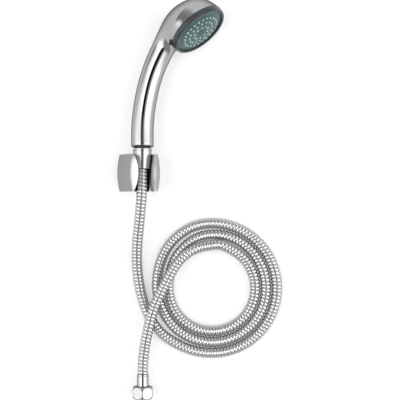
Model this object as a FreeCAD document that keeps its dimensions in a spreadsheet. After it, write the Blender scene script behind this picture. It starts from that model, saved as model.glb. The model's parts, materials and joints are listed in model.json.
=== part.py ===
import FreeCAD, Part
import math
import os
import Sketcher
from FreeCAD import Placement, Rotation, Vector

# A handheld shower: the chrome handset stands with its hose nut in a wall holder, and the whole set
# lies on a table. +Z is up from the table and +Y runs along the handset towards its head. The origin is
# the middle of the handset and holder, on the table. Lengths are in millimetres and angles in degrees.

X_AXIS = Vector(1, 0, 0)
Y_AXIS = Vector(0, 1, 0)
Z_AXIS = Vector(0, 0, 1)

# --- Driving dimensions -------------------------------------------------------------------------------

DIMENSIONS = {
    # How the set lies: where the handle's end is, and how handset and holder lean.
    "grip_end_x": -35.7, "grip_end_y": -65.5, "grip_end_height": 24.95,
    "handset_pitch": 6.15, "handset_roll": 22.9, "holder_yaw": 16.0,
    # Handset shell.
    "shell_wall": 2.4, "grip_edge": 1.2,
    "rim_across": 75.8, "rim_along": 148.3, "face_lean": 140.7,
    # Inlet and its small parts, measured along the handle from its end.
    "thread_radius": 10.2, "thread_reach": 10.0, "collar_reach": 2.2, "inlet_bore": 5.2,
    "inlet_plug_radius": 11.9, "inlet_plug_height": 14.0, "tube_socket_radius": 6.9,
    "tube_socket_floor": 6.0, "washer_thickness": 2.0, "washer_radius": 9.2,
    "limiter_thickness": 4.0, "limiter_hole": 1.2, "limiter_height": 1.0,
    "filter_thickness": 0.6, "filter_height": 0.5, "slip": 0.05,
    # Water tube and its seal.
    "tube_radius": 5.0, "tube_wall": 1.2, "tube_seal_thick": 1.9, "tube_seal_height": 10.0,
    # Spray head, measured along the face's own axis from the shell's rim.
    "ring_radius": 38.2, "ring_front": 7.4, "ring_lip_radius": 36.6, "plate_radius": 33.9,
    "plate_back": 5.2, "plate_edge": 5.6, "plate_crown": 9.0, "chamber_depth": 12.0,
    "chamber_radius": 31.0, "chamber_flange": 34.3, "chamber_wall": 2.2, "boss_radius": 4.5,
    "seal_thick": 2.4, "seal_radius": 32.9, "seal_height": 3.25, "nozzle_sheet_thick": 1.2,
    "nozzle_sheet_gap": 0.9, "nozzle_radius": 1.1, "nozzle_taper": 0.2, "nozzle_proud": 1.4,
    "nozzle_hole": 1.3, "screw_radius": 1.3, "screw_reach": 10.0, "screw_head": 3.2,
    "screw_head_height": 1.3, "screw_sink": 1.4, "cap_radius": 3.9, "cap_thick": 1.5,
    # Cone nut and the hose end inside it.
    "cone_top_radius": 11.9, "cone_bottom_radius": 10.1, "cone_length": 26.8, "cone_mouth": 8.2,
    "cone_shoulder": 14.6, "stem_flange_radius": 9.4, "stem_flange_thick": 2.05, "stem_radius": 5.1,
    "stem_bore": 3.8, "stem_length": 14.85, "stem_gap": 0.15, "ferrule_radius": 7.8,
    # Wall holder, measured from its own lower end.
    "holder_height": 47.6, "holder_seat_drop": 33.4, "holder_back": 21.3, "holder_back_half": 28.0,
    "holder_back_edge": 2.0, "holder_front": 16.0, "holder_front_half": 19.2, "holder_nose": 23.1,
    "holder_nose_half": 9.5, "wing_bulge": 0.9, "holder_end_taper": 3.0, "slot_mid_half": 10.5,
    "slot_end_half": 15.8, "seat_clearance": 0.35, "seat_past_end": 3.0,
    "liner_wall": 1.6, "liner_gap": 0.06, "screw_hole_radius": 2.2, "screw_hole_sink": 4.2,
    "screw_sink_height": 2.0, "screw_hole_wall": 4.5, "screw_hole_pitch": 24.0,
    # Hose.
    "hose_diameter": 14.0, "coil_centre_x": 53.5, "coil_centre_y": -247.2, "coil_outer": 91.0,
    "coil_left_outer": 76.8, "coil_shoulder": 86.3, "coil_inner": 47.8, "coil_height": 0.1,
    # Far end of the hose.
    "end_ferrule_radius": 7.5, "end_ferrule_length": 15.5, "end_stem_gap": 0.2, "nut_flats": 25.0,
    "nut_round_radius": 14.1, "nut_length": 16.5, "nut_bore": 10.3, "nut_relief": 10.7,
    "nut_relief_end": 7.9, "nut_mouth": 8.0, "nut_floor": 3.5,
}

# The handset's outline seen from the side, across and along it: down its back, and down its front from
# the grip's end to the spray face. Each pair of points is one round section of the skin.
BACK_LINE = [
    (-14.5, 1.2), (-14.4, 25.0), (-10.8, 58.1), (-4.6, 84.9), (3.6, 108.3), (13.5, 129.0),
    (24.1, 148.5), (38.2, 168.2), (60.7, 182.8), (87.5, 184.3), (105.5, 172.6),
]
FRONT_LINE = [
    (14.5, 1.2), (14.4, 25.0), (17.4, 53.5), (22.8, 76.7), (30.4, 97.3), (39.0, 113.6),
    (42.3, 119.4), (43.6, 121.9), (44.8, 123.4), (45.6, 124.0), (46.1, 124.0),
]
SECTIONS_PER_SPAN = 4

# How far a cutting tool reaches past what it cuts.
BEYOND = 1.0

# The water tube's route inside the handle, across and along the handset.
TUBE_ROUTE = [(0, 6.5), (0, 34), (3.6, 60), (9.8, 83), (18, 104), (28, 123.2), (46, 136.6)]

# Rings of nozzles in the face: radius of the ring, number of nozzles.
NOZZLE_RINGS = [(10.5, 10), (17.5, 16), (24.5, 24)]

# The hose's route from the cone nut to the coil, and from the coil to the far nut. Z is the height of
# the hose's middle above the table.
RUN_ROUTE = [
    (-35.7, -92.5, 27.86), (-35.7, -120.3, 30.86), (-38.9, -156.0, 25.5), (-43.4, -192.0, 14.0),
    (-43.5, -225.0, 7.1), (-37.6, -259.0, 7.1), (-26.1, -289.0, 7.1), (-8.1, -311.0, 7.1),
]
TAIL_ROUTE = [
    (58.5, -190.5, 14.5), (31.2, -194.8, 18.8), (9.9, -210.7, 22.4), (-7.1, -240.9, 22.4),
    (-22.1, -272.4, 22.6), (-29.3, -301.9, 21.2), (-33.9, -326.7, 15.4), (-35.6, -343.7, 14.2),
    (-35.7, -357.5, 14.2),
]


def make_sheet(document):
    """Put every driving dimension in a spreadsheet cell with its own name."""
    sheet = document.addObject("Spreadsheet::Sheet", "dims")
    for row, (name, value) in enumerate(DIMENSIONS.items(), start=1):
        sheet.set(f"A{row}", name)
        sheet.set(f"B{row}", str(value))
        sheet.setAlias(f"B{row}", name)
    document.recompute()
    return sheet


doc = FreeCAD.newDocument("handheld_shower")
dims = make_sheet(doc)
nodes = []


def size(name):
    return float(dims.get(name))


def keep(piece, label, place):
    """Give a sub-part its name and place, and list it for export."""
    piece.Label = label
    piece.Placement = place
    nodes.append(piece)
    return piece


# --- Places -------------------------------------------------------------------------------------------

def turned(about_x, about_y):
    lift = Rotation(X_AXIS, about_x).multiply(Rotation(Y_AXIS, about_y))
    return lift.multiply(Rotation(X_AXIS, -90))


GRIP_END = Vector(size("grip_end_x"), size("grip_end_y"), size("grip_end_height"))
HANDSET = Placement(GRIP_END, turned(-size("handset_pitch"), -size("handset_roll")))
# The taper that the nut sits in shares the handset's axis. The holder round it lies level.
SEAT_MIDDLE = HANDSET.multVec(Z_AXIS * -size("holder_seat_drop"))
SEAT = Placement(SEAT_MIDDLE, turned(-size("handset_pitch"), size("holder_yaw")))
HOLDER_TURN = turned(0, size("holder_yaw"))
HOLDER = Placement(SEAT_MIDDLE - Y_AXIS * size("holder_height") / 2, HOLDER_TURN)
SEAT_IN_HOLDER = HOLDER.inverse().multiply(SEAT)
FACE_IN_HANDSET = Placement(
    Vector(size("rim_across"), 0, size("rim_along")), Rotation(Y_AXIS, size("face_lean")))
FACE = HANDSET.multiply(FACE_IN_HANDSET)
FAR_END = Placement(Vector(*TAIL_ROUTE[-1]) - Y_AXIS * size("slip"), Rotation(X_AXIS, 90))


def along(place, distance):
    """The same place, moved along its own axis."""
    return place.multiply(Placement(Z_AXIS * distance, Rotation()))


# --- Ways to make a piece -----------------------------------------------------------------------------

def bind(piece, **formulas):
    for name, formula in formulas.items():
        piece.setExpression(name, formula)
    return piece


def origin_plane(body, role):
    return next(plane for plane in body.Origin.OriginFeatures if plane.Role == role)


def outline_sketch(body, name, role, corners):
    """A closed outline whose corners are each a pair of formulas, both zero or more."""
    sketch = body.newObject("Sketcher::SketchObject", name)
    sketch.AttachmentSupport = [(origin_plane(body, role), "")]
    sketch.MapMode = "FlatFace"
    points = [Vector(sheet_value(a), sheet_value(b), 0) for a, b in corners]
    count = len(points)
    for i in range(count):
        sketch.addGeometry(Part.LineSegment(points[i], points[(i + 1) % count]))
    for i in range(count):
        sketch.addConstraint(Sketcher.Constraint("Coincident", i, 2, (i + 1) % count, 1))
    for i, (a, b) in enumerate(corners):
        pin_corner(sketch, i, "DistanceX", -2, points[i].x, a, f"across_{i}")
        pin_corner(sketch, i, "DistanceY", -1, points[i].y, b, f"up_{i}")
    return sketch


def pin_corner(sketch, corner, kind, axis, value, formula, name):
    """Hold one coordinate of a corner: on the axis where it is zero, else at its formula."""
    if abs(value) < 1e-9:
        sketch.addConstraint(Sketcher.Constraint("PointOnObject", corner, 1, axis))
        return
    index = sketch.addConstraint(Sketcher.Constraint(kind, -1, 1, corner, 1, value))
    sketch.renameConstraint(index, name)
    sketch.setExpression(f"Constraints.{name}", formula)


def sheet_value(formula):
    """The number that a formula over the sheet's names gives."""
    cell = "D1"
    text = formula.replace("dims.", "")
    dims.set(cell, f"={text}")
    dims.recompute()
    value = float(dims.get(cell))
    dims.clear(cell)
    return value


def revolved(label, corners, place):
    """A turned piece: corners are (radius, height) formulas, and heights start at the place."""
    body = doc.addObject("PartDesign::Body", label)
    sketch = outline_sketch(body, f"{label}_outline", "XZ_Plane", corners)
    turn = body.newObject("PartDesign::Revolution", f"{label}_turn")
    turn.Profile = sketch
    turn.ReferenceAxis = (sketch, ["V_Axis"])
    turn.Angle = 360
    body.Tip = turn
    return keep(body, label, place)


def o_ring(label, radius, thick, place):
    """A round seal whose radius and thickness are formulas."""
    ring = doc.addObject("Part::Torus", label)
    bind(ring, Radius1=radius, Radius2=f"{thick} / 2")
    return keep(ring, label, place)


def cut(label, base, tools):
    """Take tools from base, and count the result as the sub-part."""
    joined = tools[0]
    if len(tools) > 1:
        joined = doc.addObject("Part::MultiFuse", f"{label}_tools")
        joined.Shapes = tools
    result = doc.addObject("Part::Cut", label)
    result.Base = base
    result.Tool = joined
    return result


# --- Handset ------------------------------------------------------------------------------------------

def outline_curve(line, places):
    curve = Part.BSplineCurve()
    curve.interpolate(Points=[Vector(across, 0, up) for across, up in line], Parameters=places)
    return curve


def skin_sections(inset):
    """Round sections between the back and front lines, all smaller in radius by the inset."""
    places = [0.0]
    for before, after in zip(BACK_LINE, BACK_LINE[1:]):
        places.append(places[-1] + math.dist(before, after))
    back = outline_curve(BACK_LINE, places)
    front = outline_curve(FRONT_LINE, places)
    steps = [a + (b - a) * k / SECTIONS_PER_SPAN
             for a, b in zip(places, places[1:]) for k in range(SECTIONS_PER_SPAN)]
    for step in steps + places[-1:]:
        reach = front.value(step) - back.value(step)
        ring = Part.Wire(Part.makeCircle(reach.Length / 2 - inset))
        lean = math.degrees(math.atan2(-reach.z, reach.x))
        ring.Placement = Placement(back.value(step) + reach * 0.5, Rotation(Y_AXIS, lean))
        yield ring


def skin(inset, mouth_height, mouth_radius):
    """A closed solid from a round mouth through the handset's sections."""
    mouth = Part.Wire(Part.makeCircle(mouth_radius, Vector(0, 0, mouth_height)))
    rings = [mouth, *skin_sections(inset)]
    faces = [Part.makeRuledSurface(a.Edges[0], b.Edges[0]) for a, b in zip(rings, rings[1:])]
    shell = Part.Shell([Part.Face(rings[0]), *faces, Part.Face(rings[-1])])
    shell.sewShape()
    solid = Part.Solid(shell)
    if solid.Volume < 0:
        solid.reverse()
    return solid


def handset_shell():
    grip = -BACK_LINE[0][0]
    wall = size("shell_wall")
    hollow = skin(wall, -1, grip - wall)
    shell = doc.addObject("Part::Feature", "handset_shell")
    shell.Shape = skin(0, 0, grip - size("grip_edge")).cut(hollow)
    keep(shell, "handset_shell", HANDSET)


def inlet_thread():
    revolved("inlet_thread", [
        ("dims.inlet_bore", "0"),
        ("dims.thread_radius - 0.6", "0"),
        ("dims.thread_radius", "0.8"),
        ("dims.thread_radius", "dims.thread_reach"),
        ("dims.inlet_plug_radius", "dims.thread_reach"),
        ("dims.inlet_plug_radius", "dims.thread_reach + dims.inlet_plug_height"),
        ("dims.tube_socket_radius", "dims.thread_reach + dims.inlet_plug_height"),
        ("dims.tube_socket_radius", "dims.thread_reach + dims.tube_socket_floor"),
        ("dims.inlet_bore", "dims.thread_reach + dims.tube_socket_floor"),
    ], along(HANDSET, -size("thread_reach")))


def inlet_small_parts():
    """What sits in the inlet: flow limiter, washer with its filter, and the tube's seal."""
    revolved("flow_limiter", [
        ("dims.limiter_hole", "0"),
        ("dims.inlet_bore - dims.slip", "0"),
        ("dims.inlet_bore - dims.slip", "dims.limiter_thickness"),
        ("dims.limiter_hole", "dims.limiter_thickness"),
    ], along(HANDSET, size("limiter_height") - size("thread_reach")))
    washer_bottom = -size("thread_reach") - size("washer_thickness") - size("slip")
    revolved("inlet_washer", [
        ("dims.inlet_bore", "0"),
        ("dims.washer_radius", "0"),
        ("dims.washer_radius", "dims.washer_thickness"),
        ("dims.inlet_bore", "dims.washer_thickness"),
    ], along(HANDSET, washer_bottom))
    revolved("inlet_filter", [
        ("0", "0"),
        ("dims.inlet_bore - dims.slip", "0"),
        ("dims.inlet_bore - dims.slip", "dims.filter_thickness"),
        ("0", "dims.filter_thickness"),
    ], along(HANDSET, washer_bottom + size("filter_height")))
    middle = "(dims.tube_socket_radius + dims.tube_radius) / 2"
    o_ring("tube_seal", middle, "dims.tube_seal_thick", along(HANDSET, size("tube_seal_height")))


def cone_nut():
    rise = "dims.cone_length"
    revolved("cone_nut", [
        ("dims.cone_mouth", "0"),
        ("dims.cone_bottom_radius - 0.6", "0"),
        ("dims.cone_bottom_radius", "0.6"),
        ("dims.cone_top_radius", f"{rise} - 1.2"),
        ("dims.cone_top_radius - 0.3", f"{rise} - 0.5"),
        ("dims.cone_top_radius - 0.9", rise),
        ("dims.thread_radius + 0.15", rise),
        ("dims.thread_radius + 0.15", "dims.cone_shoulder"),
        ("dims.cone_mouth", "dims.cone_shoulder"),
    ], along(HANDSET, -size("collar_reach") - size("cone_length")))


def water_tube():
    points = [Vector(across, 0, up) for across, up in TUBE_ROUTE]
    path = rounded_path(points, "water_tube")
    outer = swept(path, size("tube_radius"))
    inner = swept(path, size("tube_radius") - size("tube_wall"))
    tube = doc.addObject("Part::Feature", "water_tube")
    tube.Shape = outer.cut(inner)
    keep(tube, "water_tube", HANDSET)


# --- Spray head ---------------------------------------------------------------------------------------

def trim_ring():
    inner = "dims.plate_radius + 0.1"
    revolved("trim_ring", [
        (inner, "dims.slip"),
        ("dims.ring_radius", "dims.slip"),
        ("dims.ring_radius", "dims.ring_front * 0.4"),
        ("dims.ring_radius - 0.3", "dims.ring_front * 0.7"),
        ("dims.ring_radius - 0.9", "dims.ring_front * 0.92"),
        ("dims.ring_lip_radius", "dims.ring_front"),
        (inner, "dims.ring_front"),
    ], FACE)


def chamber_cup():
    """The cup behind the face that spreads the water, with a boss for the screw."""
    depth = "dims.chamber_depth"
    cup = revolved("chamber_blank", [
        ("dims.screw_radius + 0.05", "0"),
        ("dims.chamber_radius - 2", "0"),
        ("dims.chamber_radius", "2"),
        ("dims.chamber_radius", f"{depth} - 2"),
        ("dims.chamber_flange", f"{depth} - 2"),
        ("dims.chamber_flange", depth),
        ("dims.chamber_radius - dims.chamber_wall", depth),
        ("dims.chamber_radius - dims.chamber_wall", "dims.chamber_wall"),
        ("dims.boss_radius", "dims.chamber_wall"),
        ("dims.boss_radius", f"{depth} + dims.plate_back - 0.1"),
        ("dims.screw_radius + 0.05", f"{depth} + dims.plate_back - 0.1"),
    ], Placement())
    nodes.remove(cup)
    place = along(FACE, -size("chamber_depth"))
    drill = doc.addObject("Part::Cylinder", "chamber_inlet")
    bind(drill, Radius="dims.tube_radius + 0.1", Height="40")
    end, before = [Vector(a, 0, b) for a, b in (TUBE_ROUTE[-1], TUBE_ROUTE[-2])]
    heading = Rotation(Z_AXIS, end.sub(before))
    drill_place = Placement(before, heading)
    drill.Placement = place.inverse().multiply(HANDSET).multiply(drill_place)
    keep(cut("chamber_cup", cup, [drill]), "chamber_cup", place)


def nozzle_places():
    for radius, count in NOZZLE_RINGS:
        for i in range(count):
            angle = 2 * math.pi * (i + 0.5) / count
            yield radius, Vector(radius * math.cos(angle), radius * math.sin(angle), 0)


def crown_at(radius):
    """Height of the domed face at a distance from its middle."""
    fall = size("plate_crown") - size("plate_edge")
    return size("plate_crown") - fall * (radius / size("plate_radius")) ** 2


def spray_plate():
    """The domed face with a hole for each nozzle and a recess for the screw."""
    crown = "dims.plate_crown - (dims.plate_crown - dims.plate_edge)"
    face = [(f"dims.plate_radius * {part}", f"{crown} * {part * part}") for part in (0.3, 0.5, 0.7, 0.85)]
    plate = revolved("plate_blank", [
        ("dims.screw_radius + 0.4", "dims.plate_back"),
        ("dims.screw_radius + 0.4", "dims.plate_back + dims.screw_sink"),
        ("dims.cap_radius + 0.1", "dims.plate_back + dims.screw_sink"),
        ("dims.cap_radius + 0.1", "dims.plate_crown"),
        *face,
        ("dims.plate_radius - 1", "dims.plate_edge + 0.3"),
        ("dims.plate_radius", "dims.plate_edge - 0.8"),
        ("dims.plate_radius", "0"),
        ("dims.plate_radius - 2", "0"),
        ("dims.plate_radius - 2", "dims.plate_back - 0.8"),
        ("dims.plate_radius - 4", "dims.plate_back"),
    ], Placement())
    nodes.remove(plate)
    holes = []
    for radius, spot in nozzle_places():
        hole = doc.addObject("Part::Cylinder", "nozzle_hole")
        bind(hole, Radius="dims.nozzle_hole", Height="dims.plate_crown")
        hole.Placement = Placement(spot + Z_AXIS * 2, Rotation())
        holes.append(hole)
    keep(cut("spray_plate", plate, holes), "spray_plate", FACE)


def nozzle_sheet():
    """The soft sheet behind the face, whose nozzles stand out through the holes."""
    sheet = doc.addObject("Part::Cylinder", "sheet_disc")
    bind(sheet, Radius="dims.plate_radius - 2.2", Height="dims.nozzle_sheet_thick")
    bottom = size("plate_back") - size("nozzle_sheet_thick") - size("nozzle_sheet_gap")
    sheet.Placement = Placement(Z_AXIS * bottom, Rotation())
    nozzles = [sheet]
    for radius, spot in nozzle_places():
        nozzle = doc.addObject("Part::Cone", "nozzle")
        tall = crown_at(radius) + size("nozzle_proud") - bottom
        bind(nozzle, Radius1="dims.nozzle_radius", Radius2="dims.nozzle_radius - dims.nozzle_taper")
        nozzle.Height = tall
        nozzle.Placement = Placement(spot + Z_AXIS * bottom, Rotation())
        nozzles.append(nozzle)
    joined = doc.addObject("Part::MultiFuse", "sheet_and_nozzles")
    joined.Shapes = nozzles
    middle = doc.addObject("Part::Cylinder", "sheet_middle")
    bind(middle, Radius="dims.boss_radius + 0.1", Height="20")
    keep(cut("nozzle_sheet", joined, [middle]), "nozzle_sheet", FACE)


def face_screw():
    """The screw that holds the face to the chamber's boss, and the cap that hides it."""
    head_seat = size("plate_back") + size("screw_sink") + size("slip")
    revolved("face_screw", [
        ("0", "0"),
        ("dims.screw_radius", "0"),
        ("dims.screw_radius", "dims.screw_reach"),
        ("dims.screw_head", "dims.screw_reach"),
        ("dims.screw_head", "dims.screw_reach + dims.screw_head_height"),
        ("0", "dims.screw_reach + dims.screw_head_height"),
    ], along(FACE, head_seat - size("screw_reach")))
    revolved("screw_cap", [
        ("0", "0"),
        ("dims.cap_radius", "0"),
        ("dims.cap_radius", "dims.cap_thick * 0.6"),
        ("dims.cap_radius - 0.8", "dims.cap_thick * 0.93"),
        ("0", "dims.cap_thick"),
    ], along(FACE, head_seat + size("screw_head_height") + size("slip")))


# --- Hose end in the cone nut -------------------------------------------------------------------------

def cone_stem():
    """The stem that the nut pulls against the washer, and the ferrule that grips the hose."""
    top = -size("thread_reach") - size("washer_thickness") - size("stem_gap")
    bottom = along(HANDSET, top - size("stem_length"))
    shoulder = "dims.stem_length - dims.stem_flange_thick"
    revolved("cone_stem", [
        ("dims.stem_bore", "0"),
        ("dims.stem_radius", "0"),
        ("dims.stem_radius", shoulder),
        ("dims.stem_flange_radius", shoulder),
        ("dims.stem_flange_radius", "dims.stem_length"),
        ("dims.stem_bore", "dims.stem_length"),
    ], bottom)
    revolved("cone_ferrule", [
        ("dims.stem_radius", "0"),
        ("dims.ferrule_radius", "0"),
        ("dims.ferrule_radius", shoulder),
        ("dims.stem_radius", shoulder),
    ], bottom)


# --- Wall holder --------------------------------------------------------------------------------------

def holder_section(height, narrower):
    """One level of the holder's outside: wide at the wall, with a rounded front on each wing."""
    back = size("holder_back_half") - narrower
    front = size("holder_front_half") - narrower
    nose = size("holder_nose_half") - narrower
    wall = size("holder_back")
    reach = size("holder_front")
    tip = size("holder_nose")
    chord = Vector(nose - front, reach - tip, 0)
    outwards = Vector(-chord.y, chord.x, 0).normalize() * size("wing_bulge")
    edges = []
    for side in (1, -1):
        corners = [(back, wall + BEYOND), (back, wall - size("holder_back_edge")), (front, -reach)]
        points = [Vector(side * a, b, height) for a, b in corners]
        start = points[-1]
        end = Vector(side * nose, -tip, height)
        middle = (start + end) / 2 + Vector(side * outwards.x, outwards.y, 0)
        wing = [Part.makeLine(p, q) for p, q in zip(points, points[1:])]
        wing.append(Part.Arc(start, middle, end).toShape())
        edges.append((points[0], wing, end))
    (first, right, right_end), (last, left, left_end) = edges
    return Part.Wire(right + [Part.makeLine(right_end, left_end)] + left[::-1] + [Part.makeLine(last, first)])


def slot_tool():
    """The channel's opening seen from the front: two arcs that close in at mid height."""
    tall = size("holder_height")
    wide = size("slot_end_half")
    tight = size("slot_mid_half")
    low = -BEYOND
    high = tall + BEYOND
    right = Part.Arc(Vector(wide, 0, low), Vector(tight, 0, tall / 2), Vector(wide, 0, high))
    left = Part.Arc(Vector(-wide, 0, high), Vector(-tight, 0, tall / 2), Vector(-wide, 0, low))
    top = Part.LineSegment(Vector(wide, 0, high), Vector(-wide, 0, high))
    bottom = Part.LineSegment(Vector(-wide, 0, low), Vector(wide, 0, low))
    edges = [right.toShape(), top.toShape(), left.toShape(), bottom.toShape()]
    face = Part.Face(Part.Wire(edges))
    return face.extrude(Vector(0, -size("holder_nose") - BEYOND, 0))


def seat_cone(extra):
    """The taper that the cone nut drops into, widened by extra, and a little longer than the holder."""
    slope = (size("cone_top_radius") - size("cone_bottom_radius")) / size("cone_length")
    reach = size("holder_height") / 2 + size("seat_past_end")
    nut_bottom = size("holder_seat_drop") - size("collar_reach") - size("cone_length")
    middle = size("cone_bottom_radius") - slope * nut_bottom + size("seat_clearance") + extra
    cone = Part.makeCone(middle - slope * reach, middle + slope * reach, 2 * reach, Z_AXIS * -reach)
    return cone.transformed(SEAT_IN_HOLDER.toMatrix())


def screw_holes():
    """Two countersunk holes through the back wall, one above the other."""
    holes = []
    back = size("holder_back")
    radius = size("screw_hole_radius")
    sink = size("screw_hole_sink")
    sink_height = size("screw_sink_height")
    sink_start = back - size("screw_hole_wall") - sink_height
    for side in (-0.5, 0.5):
        up = size("holder_height") / 2 + side * size("screw_hole_pitch")
        holes.append(Part.makeCylinder(radius, back, Vector(0, 0, up), Y_AXIS))
        holes.append(Part.makeCone(sink, radius, sink_height, Vector(0, sink_start, up), Y_AXIS))
        holes.append(Part.makeCylinder(sink, sink_start, Vector(0, 0, up), Y_AXIS))
    return holes


def wall_holder():
    tall = size("holder_height")
    half = size("holder_back_half")
    back = size("holder_back")
    levels = [(share * tall, size("holder_end_taper") * (2 * share - 1) ** 2) for share in (0, 0.25, 0.5, 0.75, 1)]
    outside = Part.makeLoft([holder_section(up, less) for up, less in levels], True, False)
    past_wall = Part.makeBox(2 * half, 2 * BEYOND, tall, Vector(-half, back, 0))
    body = outside.cut(past_wall).cut(seat_cone(size("liner_wall"))).cut(slot_tool())
    liner = seat_cone(size("liner_wall") - size("liner_gap")).cut(seat_cone(0))
    liner = liner.common(Part.makeBox(2 * half, back, tall, Vector(-half, 0, 0)))
    for hole in screw_holes():
        body = body.cut(hole)
        liner = liner.cut(hole)
    for label, shape in (("holder_body", body), ("seat_liner", liner)):
        piece = doc.addObject("Part::Feature", label)
        piece.Shape = shape
        keep(piece, label, HOLDER)


# --- Hose ---------------------------------------------------------------------------------------------

def rounded_path(points, name):
    """Straight runs between the points, joined by tangent arcs as large as the runs allow."""
    edges = []
    radii = []
    start = points[0]
    for i in range(1, len(points) - 1):
        before = points[i - 1].sub(points[i])
        after = points[i + 1].sub(points[i])
        half_turn = (math.pi - before.getAngle(after)) / 2
        reach = 0.45 * min(before.Length, after.Length)
        radii.append(reach / math.tan(half_turn))
        into = points[i] + before.normalize() * reach
        out = points[i] + after.normalize() * reach
        sag = radii[-1] * (1 / math.cos(half_turn) - 1)
        middle = points[i] + (before + after).normalize() * sag
        edges.append(Part.LineSegment(start, into).toShape())
        edges.append(Part.Arc(into, middle, out).toShape())
        start = out
    edges.append(Part.LineSegment(start, points[-1]).toShape())
    print(name, "radii", [round(radius, 1) for radius in radii])
    return Part.Wire(edges)


def swept(path, radius):
    """A round tube along a path, its volume checked against section times length."""
    start = path.Edges[0]
    ring = Part.Wire(Part.makeCircle(radius, start.valueAt(start.FirstParameter),
                                     start.tangentAt(start.FirstParameter)))
    tube = path.makePipeShell([ring], True, True)
    expected = math.pi * radius ** 2 * path.Length
    assert abs(tube.Volume / expected - 1) < 0.01, "tube volume is off"
    return tube


def hose_tube(label, route):
    path = rounded_path([Vector(*point) for point in route], label)
    print(label, "length", round(path.Length, 1))
    piece = doc.addObject("Part::Feature", label)
    piece.Shape = swept(path, size("hose_diameter") / 2)
    keep(piece, label, Placement())


def round_spot(radius, degrees):
    angle = math.radians(degrees)
    return Vector(radius * math.cos(angle), radius * math.sin(angle), 0)


def hose_coil():
    """The coil's outer shape: a flat ring, closer in on the side where the turns step inwards."""
    far = size("coil_outer")
    near = size("coil_left_outer")
    right, top, bottom, low_left = [round_spot(far, degrees) for degrees in (0, 90, 270, 225)]
    left = round_spot(near, 180)
    edges = [
        Part.Arc(bottom, right, top).toShape(),
        Part.Arc(top, round_spot(size("coil_shoulder"), 135), left).toShape(),
        Part.LineSegment(left, low_left).toShape(),
        Part.Arc(low_left, round_spot(far, 245), bottom).toShape(),
    ]
    ring = Part.Face(Part.Wire(edges))
    hole = Part.Face(Part.Wire(Part.makeCircle(size("coil_inner"))))
    solid = ring.cut(hole).extrude(Z_AXIS * size("hose_diameter"))
    coil = doc.addObject("Part::Feature", "hose_coil")
    coil.Shape = solid
    centre = Vector(size("coil_centre_x"), size("coil_centre_y"), size("coil_height"))
    keep(coil, "hose_coil", Placement(centre, Rotation()))


def far_end():
    """Ferrule, stem, washer and hexagon nut on the end that screws to the water supply."""
    flange_start = "(dims.end_ferrule_length + dims.nut_floor + dims.end_stem_gap)"
    revolved("end_ferrule", [
        ("dims.stem_radius", "0"),
        ("dims.end_ferrule_radius - 0.4", "0"),
        ("dims.end_ferrule_radius", "0.4"),
        ("dims.end_ferrule_radius", flange_start),
        ("dims.stem_radius", flange_start),
    ], FAR_END)
    revolved("end_stem", [
        ("dims.stem_bore", "0"),
        ("dims.stem_radius", "0"),
        ("dims.stem_radius", flange_start),
        ("dims.stem_flange_radius", flange_start),
        ("dims.stem_flange_radius", f"{flange_start} + dims.stem_flange_thick"),
        ("dims.stem_bore", f"{flange_start} + dims.stem_flange_thick"),
    ], FAR_END)
    washer_start = sheet_value(f"{flange_start} + dims.stem_flange_thick + dims.slip")
    revolved("end_washer", [
        ("dims.inlet_bore", "0"),
        ("dims.washer_radius", "0"),
        ("dims.washer_radius", "dims.washer_thickness"),
        ("dims.inlet_bore", "dims.washer_thickness"),
    ], along(FAR_END, washer_start))
    hex_nut(along(FAR_END, size("end_ferrule_length")))


def hex_nut(place):
    """A six-sided nut with turned-off corners, a lip for the stem's flange and a threaded mouth."""
    prism = doc.addObject("Part::Prism", "nut_prism")
    prism.Polygon = 6
    bind(prism, Circumradius="dims.nut_flats / 2 / cos(30)", Height="dims.nut_length")
    prism.Placement = Placement(Vector(), Rotation(Z_AXIS, 30))
    turned_off = doc.addObject("Part::Cylinder", "nut_round")
    bind(turned_off, Radius="dims.nut_round_radius", Height="dims.nut_length")
    blank = doc.addObject("Part::Common", "nut_blank")
    blank.Base = prism
    blank.Tool = turned_off
    lip = nut_hole("nut_lip_hole", 0, Radius="dims.nut_mouth", Height="dims.nut_length")
    relief = nut_hole("nut_relief", size("nut_floor"), Radius="dims.nut_relief",
                      Height="dims.nut_relief_end - dims.nut_floor")
    thread = nut_hole("nut_thread", size("nut_floor"), Radius="dims.nut_bore", Height="dims.nut_length")
    keep(cut("hex_nut", blank, [lip, relief, thread]), "hex_nut", place)


def nut_hole(name, height, **formulas):
    hole = bind(doc.addObject("Part::Cylinder", name), **formulas)
    hole.Placement = Placement(Z_AXIS * height, Rotation())
    return hole


# --- Build, check and write ---------------------------------------------------------------------------

def build():
    handset_shell()
    inlet_thread()
    inlet_small_parts()
    water_tube()
    cone_nut()
    trim_ring()
    chamber_cup()
    o_ring("chamber_seal", "dims.seal_radius", "dims.seal_thick", along(FACE, -size("seal_height")))
    spray_plate()
    nozzle_sheet()
    face_screw()
    cone_stem()
    wall_holder()
    hose_tube("hose_run", RUN_ROUTE)
    hose_coil()
    hose_tube("hose_tail", TAIL_ROUTE)
    far_end()
    doc.recompute()


def check():
    for piece in doc.Objects:
        assert not {"Invalid", "Error"} & set(piece.State), piece.Label
    for piece in nodes:
        assert not piece.Shape.isNull() and piece.Shape.isValid(), piece.Label


def write():
    os.makedirs("parts", exist_ok=True)
    for piece in nodes:
        piece.Shape.exportStep(os.path.join("parts", f"{piece.Label}.step"))


build()
check()
write()
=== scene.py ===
"""Looks for a handheld shower: a chrome handset in its wall holder, and its steel hose in a coil.

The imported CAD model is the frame. Lengths are in metres, +Z is up from the table, +Y runs along the
handset towards its head, and the camera looks straight down on the set.
"""

import json
import math

import bmesh
import bpy
import numpy as np
from mathutils import Matrix, Vector


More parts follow.
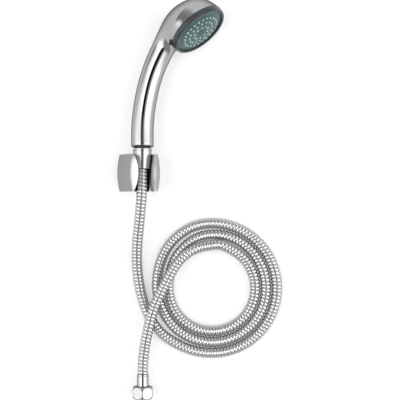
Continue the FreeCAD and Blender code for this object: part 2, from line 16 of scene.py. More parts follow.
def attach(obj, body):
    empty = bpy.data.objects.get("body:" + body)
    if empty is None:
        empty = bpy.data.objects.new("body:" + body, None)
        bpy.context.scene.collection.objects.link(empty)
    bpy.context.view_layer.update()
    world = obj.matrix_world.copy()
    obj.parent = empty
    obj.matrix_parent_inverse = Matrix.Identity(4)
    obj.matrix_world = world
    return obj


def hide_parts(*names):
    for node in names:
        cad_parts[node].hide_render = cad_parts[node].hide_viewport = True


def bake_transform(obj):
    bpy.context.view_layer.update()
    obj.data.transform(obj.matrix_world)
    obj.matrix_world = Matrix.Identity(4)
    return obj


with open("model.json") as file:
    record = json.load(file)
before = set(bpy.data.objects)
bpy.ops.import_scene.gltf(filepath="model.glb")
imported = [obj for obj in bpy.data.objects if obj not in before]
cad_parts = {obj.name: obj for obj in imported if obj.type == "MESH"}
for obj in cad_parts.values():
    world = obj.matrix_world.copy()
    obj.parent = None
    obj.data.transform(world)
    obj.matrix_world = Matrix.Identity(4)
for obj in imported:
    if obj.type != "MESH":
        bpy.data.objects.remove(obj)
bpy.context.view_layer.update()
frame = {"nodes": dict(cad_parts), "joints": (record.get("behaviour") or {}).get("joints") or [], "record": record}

MM = 0.001
UP = Vector((0, 0, 1))
RECORD = frame["record"]
JOINTS = {joint["name"]: joint for joint in frame["joints"]}
NODES = frame["nodes"]


# --- Places -------------------------------------------------------------------------------------------

def placed(origin, axis, across):
    """The frame at origin whose Z is the axis and whose X is the part of across square to it."""
    z = Vector(axis).normalized()
    x = (Vector(across) - Vector(across).project(z)).normalized()
    y = z.cross(x)
    place = Matrix((x, y, z)).transposed().to_4x4()
    place.translation = Vector(origin)
    return place


def moved(place, across=0.0, back=0.0, along=0.0):
    return place @ Matrix.Translation((across, back, along))


HOLDER_YAW = math.radians(16)
HANDSET_ROLL = math.radians(22.9)
swivel = JOINTS["handset_swivel"]
roll_direction = (math.cos(HANDSET_ROLL), 0, math.sin(HANDSET_ROLL))
HANDSET = placed(swivel["pos_m"], swivel["axis"], roll_direction)
HOLDER = placed(swivel["pos_m"], swivel["axis"], (math.cos(HOLDER_YAW), 0, -math.sin(HOLDER_YAW)))
RIM_ACROSS = 75.8 * MM
RIM_ALONG = 148.3 * MM
FACE_LEAN = math.radians(140.7)
FACE = moved(HANDSET, across=RIM_ACROSS, along=RIM_ALONG) @ Matrix.Rotation(FACE_LEAN, 4, "Y")
FAR_END = placed(JOINTS["end_nut_spin"]["pos_m"], JOINTS["end_nut_spin"]["axis"], (1, 0, 0))


# --- Camera and light ---------------------------------------------------------------------------------

CAMERA_HEIGHT = 1.6
VIEW_WIDTH = 0.52
VIEW_CENTRE = Vector((0.038, -0.1333, 0))


def camera():
    data = bpy.data.cameras.new("camera")
    data.sensor_width = 36
    data.lens = data.sensor_width * CAMERA_HEIGHT / VIEW_WIDTH
    data.clip_end = 20
    body = bpy.data.objects.new("camera", data)
    body.location = VIEW_CENTRE + UP * CAMERA_HEIGHT
    bpy.context.collection.objects.link(body)
    bpy.context.scene.camera = body


# --- Ways to make a piece -----------------------------------------------------------------------------

def mesh_piece(name, points, faces, sharp_angle=40):
    """A smooth-shaded mesh, with edges sharp where its faces meet at more than the angle."""
    mesh = bpy.data.meshes.new(name)
    mesh.from_pydata([tuple(p) for p in points], [], faces)
    mesh.validate()
    work = bmesh.new()
    work.from_mesh(mesh)
    bmesh.ops.recalc_face_normals(work, faces=work.faces)
    work.to_mesh(mesh)
    work.free()
    mesh.shade_smooth()
    mesh.set_sharp_from_angle(angle=math.radians(sharp_angle))
    piece = bpy.data.objects.new(name, mesh)
    bpy.context.collection.objects.link(piece)
    return piece


def grid_faces(rows, columns, rows_close=False):
    """Four-sided faces between rings of points, each ring closed on itself."""
    faces = []
    for row in range(rows if rows_close else rows - 1):
        below = row * columns
        above = (row + 1) % rows * columns
        for i in range(columns):
            j = (i + 1) % columns
            faces.append((below + i, below + j, above + j, above + i))
    return faces


def rounded_outline(corners):
    """A closed outline with its corners rounded. A corner is (x, y) or (x, y, rounding radius)."""
    steps = 5
    outline = []
    count = len(corners)
    for i, corner in enumerate(corners):
        here = Vector(corner[:2])
        radius = corner[2] if len(corner) > 2 else 0
        if not radius:
            outline.append(here)
            continue
        before = (Vector(corners[i - 1][:2]) - here).normalized()
        after = (Vector(corners[(i + 1) % count][:2]) - here).normalized()
        half = before.angle(after) / 2
        reach = radius / math.tan(half)
        start, end = here + before * reach, here + after * reach
        middle = here + (before + after).normalized() * radius / math.sin(half)
        for step in range(steps + 1):
            spoke = (start - middle).lerp(end - middle, step / steps)
            outline.append(middle + spoke.normalized() * radius)
    return outline


def turned_piece(name, corners, place, sides=96):
    """A turned ring or tube. Corners are (radius, height) in metres, and may carry a rounding radius."""
    outline = rounded_outline(corners)
    points = []
    for radius, height in outline:
        for i in range(sides):
            angle = math.tau * i / sides
            points.append(place @ Vector((radius * math.cos(angle), radius * math.sin(angle), height)))
    return mesh_piece(name, points, grid_faces(len(outline), sides, rows_close=True))


# --- Materials ----------------------------------------------------------------------------------------

def new_material(name, colour, roughness, metallic=0.0, **inputs):
    """A Principled material and its shader. Extra inputs are shader socket names with _ for spaces."""
    material = bpy.data.materials.new(name)
    material.use_nodes = True
    shader = material.node_tree.nodes["Principled BSDF"]
    shader.inputs["Base Color"].default_value = (*colour, 1)
    shader.inputs["Roughness"].default_value = roughness
    shader.inputs["Metallic"].default_value = metallic
    for socket, value in inputs.items():
        shader.inputs[socket.replace("_", " ")].default_value = value
    return material


def link(material, source, target):
    material.node_tree.links.new(source, target)


def shader_of(material):
    return material.node_tree.nodes["Principled BSDF"]


def noise(material, per_metre, detail=3.0):
    """A noise pattern in object space, with so many blotches to the metre."""
    nodes = material.node_tree.nodes
    where = nodes.new("ShaderNodeTexCoord")
    pattern = nodes.new("ShaderNodeTexNoise")
    pattern.inputs["Scale"].default_value = per_metre
    pattern.inputs["Detail"].default_value = detail
    link(material, where.outputs["Object"], pattern.inputs["Vector"])
    return pattern.outputs["Fac"]


def vary_roughness(material, pattern, low, high):
    spread = material.node_tree.nodes.new("ShaderNodeMapRange")
    spread.inputs["From Min"].default_value = 0.35
    spread.inputs["From Max"].default_value = 0.65
    spread.inputs["To Min"].default_value = low
    spread.inputs["To Max"].default_value = high
    link(material, pattern, spread.inputs["Value"])
    link(material, spread.outputs["Result"], shader_of(material).inputs["Roughness"])


def vary_colour(material, pattern, dark, light):
    ramp = material.node_tree.nodes.new("ShaderNodeValToRGB")
    ramp.color_ramp.elements[0].position = 0.35
    ramp.color_ramp.elements[0].color = (*dark, 1)
    ramp.color_ramp.elements[1].position = 0.65
    ramp.color_ramp.elements[1].color = (*light, 1)
    link(material, pattern, ramp.inputs["Fac"])
    link(material, ramp.outputs["Color"], shader_of(material).inputs["Base Color"])


def bumps(material, pattern, height):
    bump = material.node_tree.nodes.new("ShaderNodeBump")
    bump.inputs["Strength"].default_value = 1.0
    bump.inputs["Distance"].default_value = height
    link(material, pattern, bump.inputs["Height"])
    link(material, bump.outputs["Normal"], shader_of(material).inputs["Normal"])


def chrome(name, colour=(0.39, 0.394, 0.402), roughness=(0.02, 0.06)):
    """Polished chrome with faint wiping marks, greyer where it turns away."""
    material = new_material(name, colour, roughness[0], metallic=1.0, Specular_Tint=(0.25, 0.255, 0.26, 1))
    vary_roughness(material, noise(material, 90), *roughness)
    return material


def painted_channel_light(name):
    """Painted light for the holder's channel walls: a pale, dull grey, part metal, that shows them lighter than
    their shade would.
    """
    material = new_material(name, (0.8, 0.8, 0.81), 0.5, metallic=0.2)
    vary_roughness(material, noise(material, 120), 0.4, 0.5)
    return material


def moulded(name, dark, light, roughness, grain=0.00002, per_metre=2200):
    """Moulded plastic or rubber: slight colour variation and a fine surface grain."""
    material = new_material(name, light, roughness[0])
    vary_colour(material, noise(material, 60), dark, light)
    vary_roughness(material, noise(material, 160), *roughness)
    bumps(material, noise(material, per_metre, detail=2.0), grain)
    return material


def turned_metal(name, dark, light, roughness):
    """Turned brass or steel, with fine marks."""
    material = new_material(name, light, roughness[0], metallic=1.0)
    vary_colour(material, noise(material, 300), dark, light)
    vary_roughness(material, noise(material, 700), *roughness)
    return material


def woven_wire(name):
    """Fine woven wire, as a regular weave of bumps."""
    material = new_material(name, (0.55, 0.55, 0.54), 0.4, metallic=1.0)
    weave = material.node_tree.nodes.new("ShaderNodeTexChecker")
    weave.inputs["Scale"].default_value = 2500
    vary_colour(material, weave.outputs["Fac"], (0.3, 0.3, 0.29), (0.62, 0.62, 0.6))
    bumps(material, weave.outputs["Fac"], 0.0001)
    return material


def make_materials():
    """One material for each of the record's slots."""
    return {
        "chrome_shell": chrome("chrome_shell"),
        "chrome_nut": chrome("chrome_nut", (0.42, 0.424, 0.432), (0.2, 0.26)),
        "chrome_holder": chrome("chrome_holder"),
        "chrome_fitting": chrome("chrome_fitting"),
        "hose_chrome": chrome("hose_chrome", (0.6, 0.605, 0.61), (0.18, 0.24)),
        "ring_grey": moulded("ring_grey", (0.022, 0.027, 0.03), (0.036, 0.043, 0.046), (0.3, 0.42)),
        "face_teal": moulded("face_teal", (0.012, 0.062, 0.068), (0.022, 0.094, 0.1), (0.25, 0.4)),
        "cap_teal": moulded("cap_teal", (0.012, 0.058, 0.064), (0.018, 0.08, 0.085), (0.25, 0.4)),
        "nozzle_silicone": moulded("nozzle_silicone", (0.45, 0.58, 0.55), (0.6, 0.72, 0.68), (0.45, 0.6)),
        "moulded_black": moulded("moulded_black", (0.01, 0.01, 0.012), (0.018, 0.018, 0.02), (0.4, 0.5)),
        "moulded_white": moulded("moulded_white", (0.7, 0.7, 0.68), (0.8, 0.8, 0.78), (0.4, 0.55)),
        "liner_black": moulded("liner_black", (0.012, 0.012, 0.014), (0.022, 0.022, 0.024), (0.3, 0.5)),
        "black_rubber": moulded("black_rubber", (0.02, 0.02, 0.02), (0.035, 0.035, 0.035), (0.6, 0.8)),
        "filter_mesh": woven_wire("filter_mesh"),
        "steel_screw": turned_metal("steel_screw", (0.5, 0.5, 0.5), (0.62, 0.62, 0.61), (0.2, 0.35)),
        "brass": turned_metal("brass", (0.62, 0.44, 0.18), (0.75, 0.56, 0.26), (0.15, 0.3)),
    }


def dress(piece, material):
    piece.data.materials.clear()
    piece.data.materials.append(material)


def dress_nodes():
    for part in RECORD["subparts"]:
        dress(NODES[part["node"]], MATERIALS[part["material_slot"]])


def finish_piece(piece, slot, body, *nodes):
    """Give a new piece its finish, the body it moves with and the CAD nodes it stands for."""
    dress(piece, MATERIALS[slot])
    if body:
        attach(piece, body)
    if nodes:
        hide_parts(*nodes)
    return piece


# --- Hose ---------------------------------------------------------------------------------------------

HOSE_DIAMETER = 14 * MM
# The hose's route from the cone nut to the coil, and from the coil to the far nut, in millimetres.
RUN_ROUTE = [
    (-35.7, -92.5, 27.86), (-35.7, -120.3, 30.86), (-38.9, -156.0, 25.5), (-43.4, -192.0, 14.0),
    (-43.5, -225.0, 7.1), (-37.6, -259.0, 7.1), (-26.1, -289.0, 7.1), (-8.1, -311.0, 7.1),
]
TAIL_ROUTE = [
    (58.5, -190.5, 14.5), (31.2, -194.8, 18.8), (9.9, -210.7, 22.4), (-7.1, -240.9, 22.4),
    (-22.1, -272.4, 22.6), (-29.3, -301.9, 21.2), (-33.9, -326.7, 15.4), (-35.6, -343.7, 14.2),
    (-35.7, -357.5, 14.2),
]
COIL_CENTRE = (53.5, -247.2)
COIL_STEP = 30
COIL_FIRST = 255
COIL_LAST = 1155
TURN_RADII = (84.0, 69.9, 55.8)
# Where each turn has stepped in to the next one's radius, in degrees round the coil.
STEP_START = (460, 805)
STEP_END = (545, 895)
# The last turn climbs over the others, from lying on the table, between these degrees.
RISE_START = 1080
RISE_END = 1165
LYING_HEIGHT = 7.1
CLIMB = 7.4


def ease(value, start, end):
    """0 before start, 1 after end, and smooth between them."""
    share = min(max((value - start) / (end - start), 0), 1)
    return share * share * (3 - 2 * share)


def coil_route():
    """Three turns lying side by side, counted anticlockwise and stepping inwards on the left."""
    points = []
    outside_factor = 1 / (1 - (math.radians(COIL_STEP) ** 2) / 8)
    for degrees in range(COIL_FIRST, COIL_LAST + 1, COIL_STEP):
        radius = TURN_RADII[0]
        for wider, narrower, start, end in zip(TURN_RADII, TURN_RADII[1:], STEP_START, STEP_END):
            radius += (narrower - wider) * ease(degrees, start, end)
        height = LYING_HEIGHT + CLIMB * ease(degrees, RISE_START, RISE_END)
        angle = math.radians(degrees)
        points.append((
            COIL_CENTRE[0] + radius * outside_factor * math.cos(angle),
            COIL_CENTRE[1] + radius * outside_factor * math.sin(angle),
            height))
    return points


def spline_points(control_points):
    """Points along the NURBS spline that has these control points, in metres."""
    curve = bpy.data.curves.new("hose_line", "CURVE")
    curve.dimensions = "3D"
    curve.resolution_u = 12
    spline = curve.splines.new("NURBS")
    spline.points.add(len(control_points) - 1)
    for point, place in zip(spline.points, control_points):
        point.co = (*(c * MM for c in place), 1)
    spline.order_u = 3
    spline.use_endpoint_u = True
    stand_in = bpy.data.objects.new("hose_line", curve)
    mesh = bpy.data.meshes.new_from_object(stand_in)
    points = [vertex.co.copy() for vertex in mesh.vertices]
    bpy.data.objects.remove(stand_in)
    bpy.data.curves.remove(curve)
    bpy.data.meshes.remove(mesh)
    return points


class Line:
    """Points and directions by distance along a line of points."""

    def __init__(self, points):
        self.points = np.array(points)
        runs = np.linalg.norm(np.diff(self.points, axis=0), axis=1)
        self.stations = np.concatenate([[0], np.cumsum(runs)])
        self.length = self.stations[-1]
        self.headings = np.gradient(self.points, self.stations, axis=0)

    def at(self, distance):
        """The point there, with the directions sideways and upwards square to the line."""
        point = Vector([np.interp(distance, self.stations, self.points[:, i]) for i in range(3)])
        heading = Vector([np.interp(distance, self.stations, self.headings[:, i]) for i in range(3)])
        side = heading.cross(UP).normalized()
        return point, side, side.cross(heading).normalized()


# One band of the hose's steel spiral: share of the pitch, and depth below the outside.
BAND_PITCH = 4.5 * MM
BAND_OUTLINE = [(0.0, 1.3), (0.12, 0.55), (0.26, 0.14), (0.5, 0.0), (0.74, 0.14), (0.88, 0.55)]
BAND_SIDES = 20
# How far the spiral goes on into the fittings at its ends.
DEPTH_IN_NUT = 5 * MM
DEPTH_IN_SLEEVE = 8 * MM


def hose(line):
    """The steel spiral: one band wound round and round, each turn hooked under the next."""
    turns = round(line.length / BAND_PITCH)
    pitch = line.length / (turns + 1)
    steps = turns * BAND_SIDES
    points = []
    for step in range(steps + 1):
        angle = math.tau * step / BAND_SIDES
        for share, depth in BAND_OUTLINE:
            middle, side, up = line.at(pitch * (step / BAND_SIDES + share))
            spoke = side * math.cos(angle) + up * math.sin(angle)
            points.append(middle + spoke * (HOSE_DIAMETER / 2 - depth * MM))
    across = len(BAND_OUTLINE)
    faces = []
    for step in range(steps):
        here = step * across
        there = here + across
        for i in range(across - 1):
            faces.append((here + i, here + i + 1, there + i + 1, there + i))
        if step + BAND_SIDES < steps:
            next_band = here + BAND_SIDES * across
            faces.append((here + across - 1, next_band, next_band + across, there + across - 1))
    return mesh_piece("hose", points, faces, sharp_angle=70)


def make_hose():
    points = spline_points(RUN_ROUTE + coil_route() + TAIL_ROUTE)
    inside_nut = points[0] + (points[0] - points[1]).normalized() * DEPTH_IN_NUT
    inside_sleeve = points[-1] + (points[-1] - points[-2]).normalized() * DEPTH_IN_SLEEVE
    tube = hose(Line([inside_nut] + points + [inside_sleeve]))
    finish_piece(tube, "hose_chrome", None, "hose_run", "hose_coil", "hose_tail")
    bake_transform(tube)
    end_ferrule()
    hexagon_nut()


# --- Handset ------------------------------------------------------------------------------------------

# The handset's outline seen from the side, across and along it, in millimetres: down its back, and down
# its front from the grip's end to the spray face. Each pair of points is one round section.
BACK_LINE = [
    (-14.5, 1.2), (-14.4, 25.0), (-10.8, 58.1), (-4.6, 84.9), (3.6, 108.3), (13.5, 129.0),
    (24.1, 148.5), (38.2, 168.2), (60.7, 182.8), (87.5, 184.3), (105.5, 172.6),
]
FRONT_LINE = [
    (14.5, 1.2), (14.4, 25.0), (17.4, 53.5), (22.8, 76.7), (30.4, 97.3), (39.0, 113.6),
    (42.3, 119.4), (43.6, 121.9), (44.8, 123.4), (45.6, 124.0), (46.1, 124.0),
]
SHELL_WALL = 2.4
GRIP_EDGE = 1.2
SHELL_RINGS = 150
SHELL_SIDES = 112


def smooth_line(points, stations, wanted):
    """The natural cubic spline through points at their stations, read at the wanted stations."""
    points = np.array(points, float)
    gaps = np.diff(stations)
    last = len(points) - 1
    rows = np.eye(last + 1)
    pulls = np.zeros_like(points)
    for i in range(1, last):
        rows[i, i - 1:i + 2] = gaps[i - 1], 2 * (gaps[i - 1] + gaps[i]), gaps[i]
        pulls[i] = 6 * ((points[i + 1] - points[i]) / gaps[i] - (points[i] - points[i - 1]) / gaps[i - 1])
    bends = np.linalg.solve(rows, pulls)
    span = np.clip(np.searchsorted(stations, wanted, side="right") - 1, 0, last - 1)
    gap = gaps[span][:, None]
    after = (wanted - stations[span])[:, None] / gap
    before = 1 - after
    straight = points[span] * before + points[span + 1] * after
    curved = (before ** 3 - before) * bends[span] + (after ** 3 - after) * bends[span + 1]
    return straight + curved * gap ** 2 / 6


def shell_sections(inset):
    """Round sections of the shell from grip to rim, each a list of points, smaller by the inset."""
    runs = [math.dist(a, b) for a, b in zip(BACK_LINE, BACK_LINE[1:])]
    stations = np.concatenate([[0], np.cumsum(runs)])
    wanted = np.linspace(0, stations[-1], SHELL_RINGS)
    back = smooth_line(BACK_LINE, stations, wanted)
    front = smooth_line(FRONT_LINE, stations, wanted)
    sections = []
    for near, far in zip(back, front):
        middle = (near + far) / 2
        reach = (far - near) / 2
        radius = np.linalg.norm(reach) - inset
        sections.append(round_section(middle, reach / np.linalg.norm(reach), radius))
    return sections


def round_section(middle, heading, radius):
    """A circle in the handset's frame that crosses its side view along the heading."""
    ring = []
    for i in range(SHELL_SIDES):
        angle = math.tau * i / SHELL_SIDES
        across = radius * math.cos(angle)
        x = middle[0] + heading[0] * across
        z = middle[1] + heading[1] * across
        ring.append(HANDSET @ (Vector((x, radius * math.sin(angle), z)) * MM))
    return ring


def handset_shell():
    grip = -BACK_LINE[0][0]
    mouth = [round_section((0, height), (1, 0), radius) for height, radius in (
        (0, grip - SHELL_WALL), (0, grip - GRIP_EDGE), (0.15, grip - GRIP_EDGE + 0.3), (0.9, grip - 0.1))]
    outside = shell_sections(0)
    inside = shell_sections(SHELL_WALL)
    rings = mouth + outside + inside[::-1]
    points = [point for ring in rings for point in ring]
    shell = mesh_piece("handset_skin", points, grid_faces(len(rings), SHELL_SIDES, rows_close=True))
    finish_piece(shell, "chrome_shell", "handset", "handset_shell")


RING_RADIUS = 38.2 * MM
RING_FRONT = 7.4 * MM
PLATE_RADIUS = 33.9 * MM
PLATE_EDGE = 5.6 * MM
PLATE_CROWN = 9.0 * MM
PLATE_BACK = 5.2 * MM
CAP_RADIUS = 3.9 * MM
NOZZLE_RINGS = [(10.5 * MM, 10), (17.5 * MM, 16), (24.5 * MM, 24)]


def trim_ring():
    inner = PLATE_RADIUS + 0.1 * MM
    ring = turned_piece("rim_ring", [
        (inner, 0.05 * MM),
        (RING_RADIUS, 0.05 * MM, 0.3 * MM),
        (RING_RADIUS, 4.6 * MM, 2.5 * MM),
        (RING_RADIUS - 1.1 * MM, RING_FRONT, 0.6 * MM),
        (inner + 0.2 * MM, RING_FRONT - 0.1 * MM, 0.25 * MM),
        (inner, RING_FRONT - 0.9 * MM),
    ], FACE, sides=160)
    finish_piece(ring, "ring_grey", "handset", "trim_ring")


def dome(radius):
    """Height of the domed face at a distance from its middle."""
    return PLATE_CROWN - (PLATE_CROWN - PLATE_EDGE) * (radius / PLATE_RADIUS) ** 2


def spray_face():
    """The domed face: a bead round its edge, a shallow valley inside that, and a recess for the cap."""
    recess = CAP_RADIUS + 0.25 * MM
    ledge = PLATE_CROWN - 1.6 * MM
    screw_hole = 1.7 * MM
    corners = [
        (screw_hole, PLATE_BACK), (screw_hole, ledge), (recess, ledge), (recess, dome(recess), 0.3 * MM),
    ]
    for share in np.linspace(0.2, 0.86, 12):
        corners.append((PLATE_RADIUS * share, dome(PLATE_RADIUS * share)))
    corners += [
        (PLATE_RADIUS * 0.885, dome(PLATE_RADIUS * 0.885) - 0.35 * MM, 0.3 * MM),
        (PLATE_RADIUS * 0.915, dome(PLATE_RADIUS * 0.915) - 0.35 * MM, 0.3 * MM),
        (PLATE_RADIUS * 0.94, dome(PLATE_RADIUS * 0.94), 0.3 * MM),
        (PLATE_RADIUS, PLATE_EDGE - 0.1 * MM, 0.6 * MM),
        (PLATE_RADIUS, 0.2 * MM),
        (PLATE_RADIUS - 2 * MM, 0.2 * MM),
        (PLATE_RADIUS - 4 * MM, PLATE_BACK - 1 * MM),
    ]
    face = turned_piece("domed_face", corners, FACE, sides=160)
    finish_piece(face, "face_teal", "handset", "spray_plate")


NOZZLE_OUTLINE = [
    (0.55, -2.2), (1.25, -2.2), (1.25, -0.2), (1.22, 0.02), (1.12, 0.12), (1.05, 0.5), (0.96, 1.1),
    (0.86, 1.32), (0.62, 1.4), (0.55, 1.3),
]


def nozzles():
    """The soft nozzles, each a tapered spout with a round lip, in one sheet."""
    sides = 16
    points = []
    faces = []
    outline = [Vector(corner) * MM for corner in NOZZLE_OUTLINE]
    for ring_radius, count in NOZZLE_RINGS:
        for i in range(count):
            angle = math.tau * (i + 0.5) / count
            across, back = ring_radius * math.cos(angle), ring_radius * math.sin(angle)
            spot = moved(FACE, across, back, dome(ring_radius))
            first = len(points)
            for radius, height in outline:
                for side in range(sides):
                    turn = math.tau * side / sides
                    points.append(spot @ Vector((radius * math.cos(turn), radius * math.sin(turn), height)))
            for face in grid_faces(len(outline), sides, rows_close=True):
                faces.append(tuple(first + corner for corner in face))
    sheet = mesh_piece("soft_nozzles", points, faces, sharp_angle=60)
    finish_piece(sheet, "nozzle_silicone", "handset", "nozzle_sheet")


# --- Wall holder --------------------------------------------------------------------------------------

EDGE_ROUNDING = 0.6 * MM
ROUNDED_ABOVE = math.radians(18)
WELD_DISTANCE = 0.002 * MM
FLAT_WITHIN = math.radians(0.5)
CHANNEL_HALF = 16.5 * MM
CHANNEL_LEAN = 0.3


def channel_walls(clip):
    """The faces of the holder that look into its channel."""
    inwards = HOLDER.inverted()
    for face in clip.data.polygons:
        across = (inwards @ face.center).x
        lean = (inwards.to_3x3() @ face.normal).x
        if abs(across) < CHANNEL_HALF and across * lean < 0 and abs(lean) > CHANNEL_LEAN:
            yield face


def holder_clip():
    """The holder's body with its edges rounded off, and a pale, dull grey of painted light on the walls inside its
    channel.
    """
    node = NODES["holder_body"]
    work = bmesh.new()
    work.from_mesh(node.data)
    work.transform(node.matrix_world)
    bmesh.ops.remove_doubles(work, verts=work.verts, dist=WELD_DISTANCE)
    bmesh.ops.dissolve_limit(work, angle_limit=FLAT_WITHIN, verts=work.verts, edges=work.edges)
    sharp = [edge for edge in work.edges if edge.calc_face_angle(0) > ROUNDED_ABOVE]
    bmesh.ops.bevel(work, geom=sharp, offset=EDGE_ROUNDING, segments=6, profile=0.5, affect="EDGES",
                    clamp_overlap=True)
    points = [vertex.co.copy() for vertex in work.verts]
    faces = [[vertex.index for vertex in face.verts] for face in work.faces]
    work.free()
    clip = mesh_piece("holder_clip", points, faces, sharp_angle=17)
    even = clip.modifiers.new("even_shading", "WEIGHTED_NORMAL")
    even.keep_sharp = True
    finish_piece(clip, "chrome_holder", "holder", "holder_body")
    # The walls that look into the channel take the pale grey: painted light in place of their shade.
    clip.data.materials.append(painted_channel_light("holder_channel_painted_light"))
    for face in channel_walls(clip):
        face.material_index = 1


# --- Nuts and ferrule ---------------------------------------------------------------------------------

CONE_TOP = 11.9 * MM
CONE_BOTTOM = 10.1 * MM
CONE_LENGTH = 26.8 * MM
CONE_MOUTH = 8.2 * MM
COLLAR_REACH = 2.2 * MM


def cone_nut():
    """The tapered nut, with a rounded head above a fine groove."""
    thread = 10.4 * MM
    shoulder = 14.6 * MM
    start = moved(HANDSET, along=-COLLAR_REACH - CONE_LENGTH)
    groove = CONE_LENGTH - 3.4 * MM
    nut = turned_piece("tapered_nut", [
        (CONE_MOUTH, 0, 0.3 * MM),
        (CONE_BOTTOM, 0, 0.6 * MM),
        (CONE_TOP - 0.25 * MM, groove, 0.1 * MM),
        (CONE_TOP - 0.45 * MM, groove + 0.25 * MM, 0.1 * MM),
        (CONE_TOP - 0.1 * MM, groove + 0.5 * MM, 0.15 * MM),
        (CONE_TOP, CONE_LENGTH, 1.1 * MM),
        (thread, CONE_LENGTH),
        (thread, shoulder),
        (CONE_MOUTH, shoulder),
    ], start, sides=128)
    finish_piece(nut, "chrome_nut", "handset", "cone_nut")


FERRULE_RADIUS = 7.5 * MM
FERRULE_LENGTH = 15.5 * MM
STEM_RADIUS = 5.1 * MM
NUT_FLATS = 25 * MM
NUT_LENGTH = 16.5 * MM
NUT_ROUND = 14.1 * MM
NUT_BORE = 10.3 * MM
NUT_LIP = 8.0 * MM
NUT_FLOOR = 3.5 * MM


def end_ferrule():
    """The pressed sleeve on the hose's end, with a rolled edge."""
    socket = HOSE_DIAMETER / 2 + 0.1 * MM
    end = FERRULE_LENGTH + NUT_FLOOR + 0.2 * MM
    sleeve = turned_piece("end_sleeve", [
        (STEM_RADIUS, DEPTH_IN_SLEEVE),
        (socket, DEPTH_IN_SLEEVE),
        (socket, 0),
        (FERRULE_RADIUS, 0, 0.25 * MM),
        (FERRULE_RADIUS, 1.3 * MM, 0.2 * MM),
        (FERRULE_RADIUS - 0.35 * MM, 1.6 * MM, 0.2 * MM),
        (FERRULE_RADIUS - 0.35 * MM, 2.2 * MM, 0.2 * MM),
        (FERRULE_RADIUS - 0.05 * MM, 2.5 * MM, 0.2 * MM),
        (FERRULE_RADIUS - 0.05 * MM, end),
        (STEM_RADIUS, end),
    ], FAR_END)
    finish_piece(sleeve, "chrome_fitting", "holder", "end_ferrule")
    return sleeve


def nut_side(flat):
    """The nut's outside from end to end, where its flat is so far out: round, straight, round again."""
    steps = 12
    depth = 5.6 * MM
    end_radius = 9.9 * MM
    swell = NUT_ROUND - end_radius
    last_turn = math.asin((min(flat, NUT_ROUND) - end_radius) / swell)
    turns = [last_turn * step / steps for step in range(steps + 1)]
    near = [(end_radius + swell * math.sin(turn), depth * (1 - math.cos(turn))) for turn in turns]
    return near + [(radius, NUT_LENGTH - height) for radius, height in reversed(near)]


def hexagon_nut():
    """The far nut: six flats whose ends are turned off in a round, and a threaded bore."""
    sides = 192
    place = moved(FAR_END, along=FERRULE_LENGTH)
    bore = [(NUT_BORE + 0.5 * MM, NUT_LENGTH), (NUT_BORE, NUT_LENGTH - 0.6 * MM), (NUT_BORE, NUT_FLOOR),
            (NUT_LIP, NUT_FLOOR), (NUT_LIP, 0)]
    columns = []
    for i in range(sides):
        angle = math.tau * i / sides
        from_flat = (angle + math.pi / 6) % (math.pi / 3) - math.pi / 6
        outline = nut_side(NUT_FLATS / 2 / math.cos(from_flat)) + bore
        columns.append([
            place @ Vector((radius * math.cos(angle), radius * math.sin(angle), height))
            for radius, height in outline])
    points = [point for ring in zip(*columns) for point in ring]
    faces = grid_faces(len(columns[0]), sides, rows_close=True)
    nut = mesh_piece("hexagon_nut", points, faces, sharp_angle=18)
    finish_piece(nut, "chrome_fitting", "end_nut", "hex_nut")
    return nut


# --- Light and floor ----------------------------------------------------------------------------------

def floor():
    """The table top. It is faintly lit from within, so that it stays pale beside the set."""
    half = 8.0
    corners = [(-half, -half, 0), (half, -half, 0), (half, half, 0), (-half, half, 0)]
    table = mesh_piece("table", corners, [(0, 1, 2, 3)])
    material = new_material("table_white", (0.62, 0.62, 0.62), 0.8, Emission_Strength=0.46)
    vary_colour(material, noise(material, 3), (0.615, 0.615, 0.615), (0.625, 0.625, 0.625))
    dress(table, material)


# The room's brightness by the angle from straight up, leaning towards +X: two wide soft boxes, with a
# dark gap and a dimmer stretch between them.
ROOM_ANGLES = [
    (-90, 1.1), (-60, 2.4), (-18, 3.1), (-14, 0.02), (7, 0.02), (13, 0.8), (20, 0.9), (27, 3.1),
    (75, 2.6), (90, 1.1),
]
# The soft boxes' share of the room, by how far towards +Y.
BOX_SHARES = [(-0.55, 0.0), (-0.3, 1.0), (0.2, 1.0), (0.4, 0.0)]
# The room's brightness past the soft boxes, by how far towards +Y: lightest straight beyond the head.
ROOM_ENDS = [(-1.0, 0.5), (0.6, 0.4), (0.8, 0.55), (0.94, 1.15)]


def level_ramp(nodes, levels, brightest):
    """A grey ramp with these brightnesses at these positions, the brightest of all being white."""
    ramp = nodes.new("ShaderNodeValToRGB")
    stops = ramp.color_ramp.elements
    while len(stops) < len(levels):
        stops.new(0.5)
    for stop, (position, level) in zip(stops, levels):
        stop.position = position
        stop.color = (*[level / brightest] * 3, 1)
    return ramp


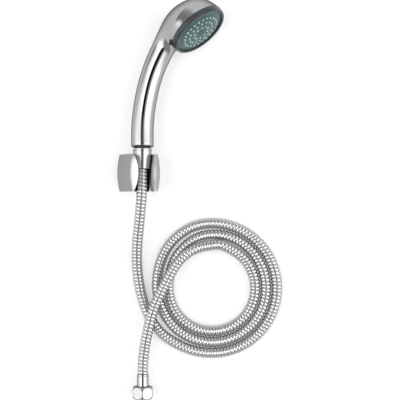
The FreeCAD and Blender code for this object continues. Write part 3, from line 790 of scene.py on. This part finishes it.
def studio():
    """A bright room: soft boxes above on both sides of the camera, and plain walls at both ends."""
    world = bpy.data.worlds.new("studio")
    world.use_nodes = True
    nodes, links = world.node_tree.nodes, world.node_tree.links
    where = nodes.new("ShaderNodeTexCoord")
    split = nodes.new("ShaderNodeSeparateXYZ")
    angle = nodes.new("ShaderNodeMath")
    angle.operation = "ARCTAN2"
    share = nodes.new("ShaderNodeMapRange")
    share.inputs["From Min"].default_value = -math.pi / 2
    share.inputs["From Max"].default_value = math.pi / 2
    brightest = max(level for _, level in ROOM_ANGLES)
    ramp = level_ramp(nodes, [((degrees + 90) / 180, level) for degrees, level in ROOM_ANGLES], brightest)
    end = nodes.new("ShaderNodeMapRange")
    end.inputs["From Min"].default_value = -1
    end.inputs["From Max"].default_value = 1
    box_ramp = level_ramp(nodes, [((y + 1) / 2, level) for y, level in BOX_SHARES], 1)
    end_ramp = level_ramp(nodes, [((y + 1) / 2, level) for y, level in ROOM_ENDS], brightest)
    mix = nodes.new("ShaderNodeMix")
    mix.data_type = "RGBA"
    background = nodes["Background"]
    background.inputs["Strength"].default_value = brightest
    links.new(where.outputs["Generated"], split.inputs["Vector"])
    links.new(split.outputs["X"], angle.inputs[0])
    links.new(split.outputs["Z"], angle.inputs[1])
    links.new(split.outputs["Y"], end.inputs["Value"])
    links.new(end.outputs["Result"], end_ramp.inputs["Fac"])
    links.new(end.outputs["Result"], box_ramp.inputs["Fac"])
    links.new(angle.outputs["Value"], share.inputs["Value"])
    links.new(share.outputs["Result"], ramp.inputs["Fac"])
    links.new(box_ramp.outputs["Color"], mix.inputs["Factor"])
    links.new(end_ramp.outputs["Color"], mix.inputs["A"])
    links.new(ramp.outputs["Color"], mix.inputs["B"])
    links.new(mix.outputs["Result"], background.inputs["Color"])
    bpy.context.scene.world = world
    bpy.context.scene.view_settings.view_transform = "Standard"


# --- The scene ----------------------------------------------------------------------------------------

camera()
MATERIALS = make_materials()
dress_nodes()
make_hose()
handset_shell()
trim_ring()
spray_face()
nozzles()
holder_clip()
cone_nut()
floor()
studio()
